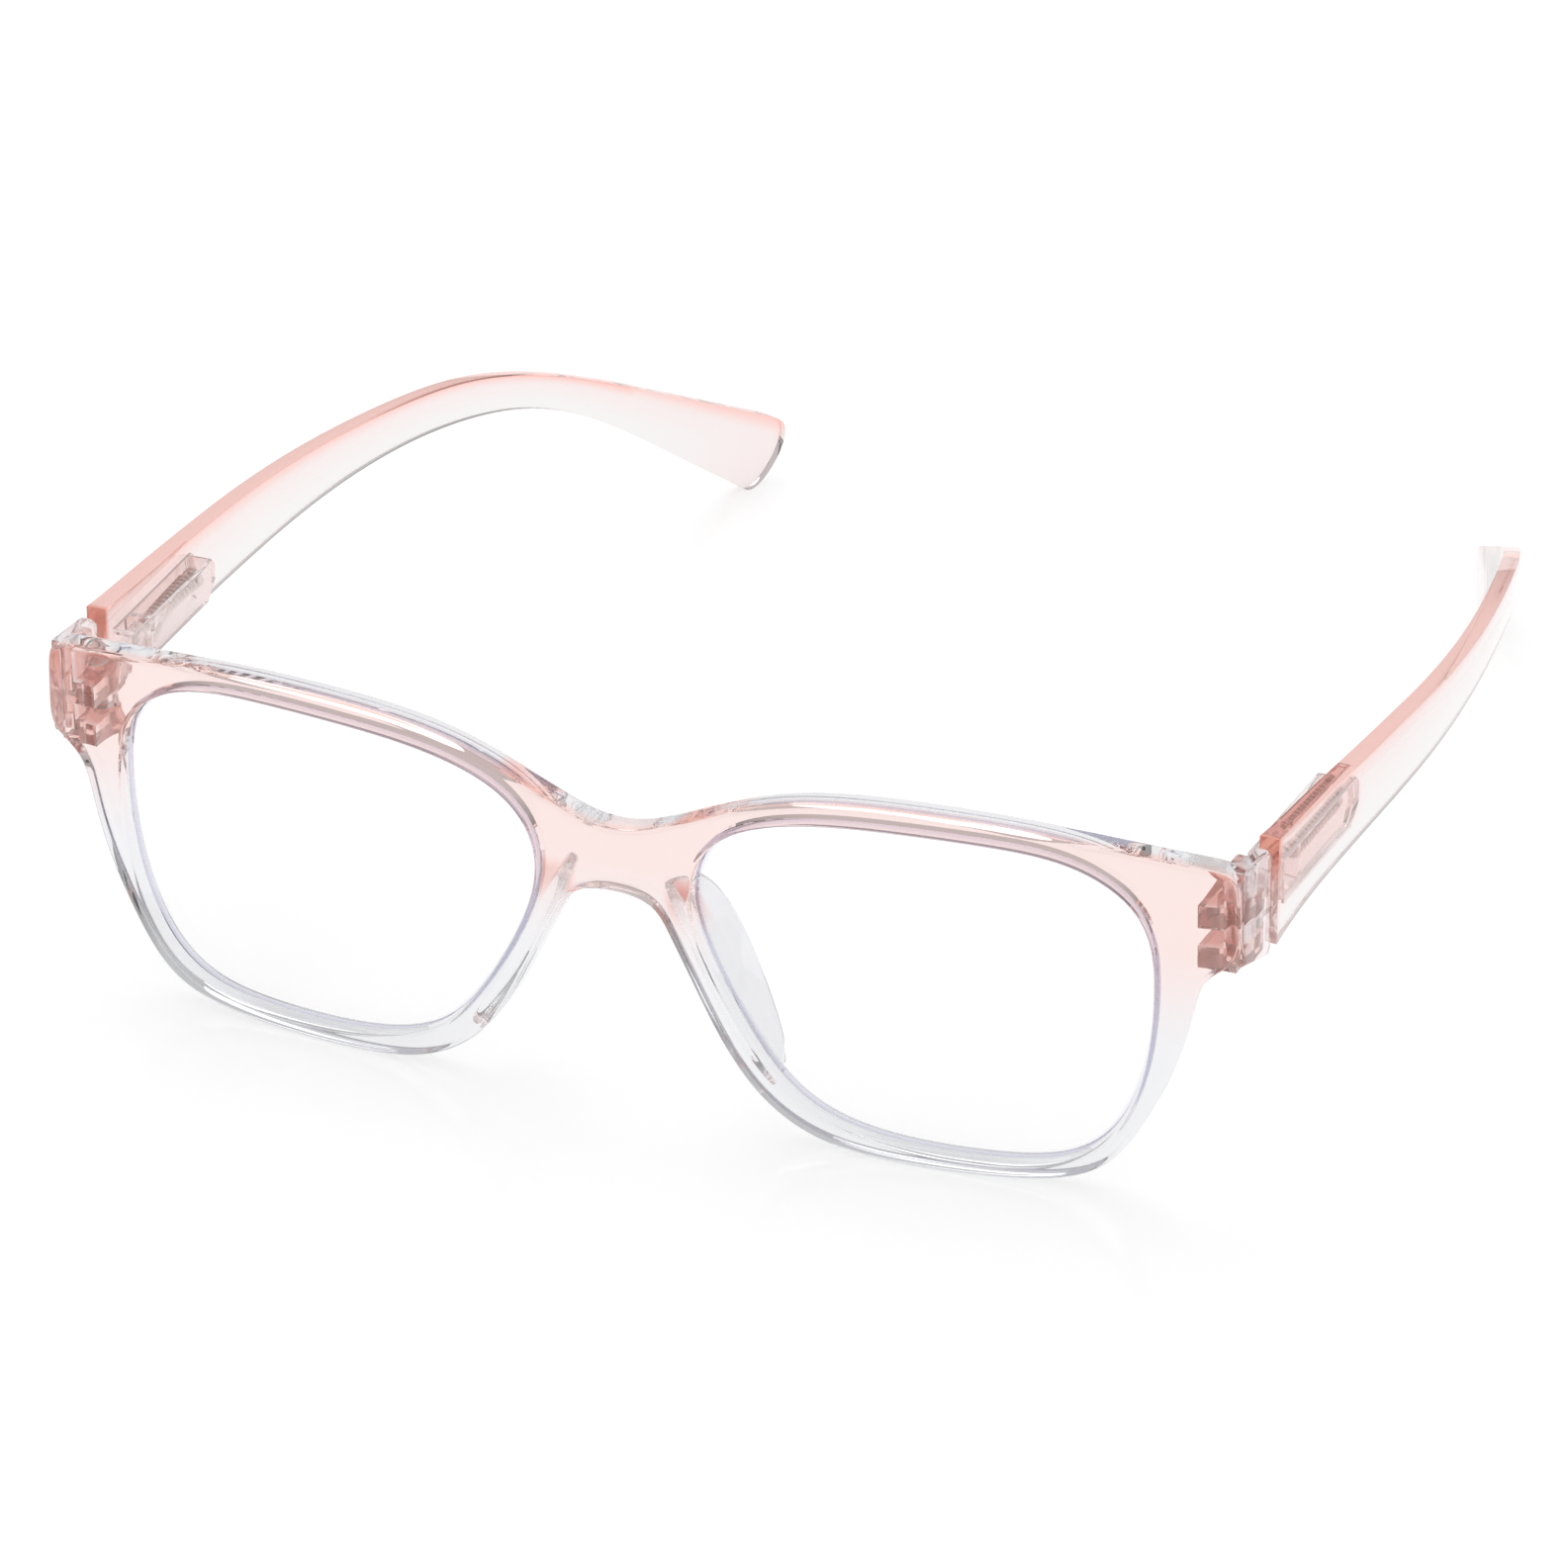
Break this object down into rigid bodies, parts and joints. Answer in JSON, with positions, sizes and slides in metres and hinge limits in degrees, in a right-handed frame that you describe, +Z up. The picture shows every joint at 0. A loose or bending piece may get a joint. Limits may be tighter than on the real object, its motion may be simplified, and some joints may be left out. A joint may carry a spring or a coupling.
{
  "type": "blue light glasses",
  "caption": "Clear plastic glasses with a tinted front, fitted lenses, moulded nose pads and folding temples on sprung hinges.",
  "frame": {"origin": "on the surface that the open glasses stand on, under the middle of their bounding box", "axes": "+X across the face to the wearer's left, which the names call right as seen from the front; +Y back along the temples; +Z up"},
  "size_m": [0.143, 0.1554, 0.0439],
  "materials": {
    "front_plastic": "polished, transparent, pink at the top fading to clear",
    "lens_plastic": "optically clear with a faint coated sheen",
    "temple_plastic": "polished, transparent, pink along the top edge fading to clear",
    "clear_plastic": "polished, transparent",
    "steel": "bright drawn wire and turned fittings"
  },
  "bodies": {
    "front": {"front_frame": "front_plastic", "lens_right": "lens_plastic", "lens_left": "lens_plastic", "hinge_screw_right": "steel", "hinge_screw_left": "steel"},
    "right_slider": {"hinge_slide_right": "clear_plastic", "spring_nut_right": "steel"},
    "right_temple": {"temple_right": "temple_plastic", "hinge_cover_right": "clear_plastic", "hinge_spring_right": "steel"},
    "left_slider": {"hinge_slide_left": "clear_plastic", "spring_nut_left": "steel"},
    "left_temple": {"temple_left": "temple_plastic", "hinge_cover_left": "clear_plastic", "hinge_spring_left": "steel"}
  },
  "joints": [
    {"name": "right_fold", "type": "hinge", "parent": "front", "child": "right_slider", "pos_m": [0.0667, -0.06417, 0.0326], "axis": [0, 0, 1], "range_deg": [-8, 83]},
    {"name": "right_spring", "type": "slide", "parent": "right_slider", "child": "right_temple", "axis": [0.0262, 0.9997, 0], "range_m": [0, 0.0015], "stiffness_N_per_m": 200, "springref_m": -0.004, "deforming": ["hinge_spring_right"]},
    {"name": "left_fold", "type": "hinge", "parent": "front", "child": "left_slider", "pos_m": [-0.0667, -0.06417, 0.0326], "axis": [0, 0, -1], "range_deg": [-8, 73]},
    {"name": "left_spring", "type": "slide", "parent": "left_slider", "child": "left_temple", "axis": [-0.0262, 0.9997, 0], "range_m": [0, 0.0015], "stiffness_N_per_m": 200, "springref_m": -0.004, "deforming": ["hinge_spring_left"]}
  ]
}
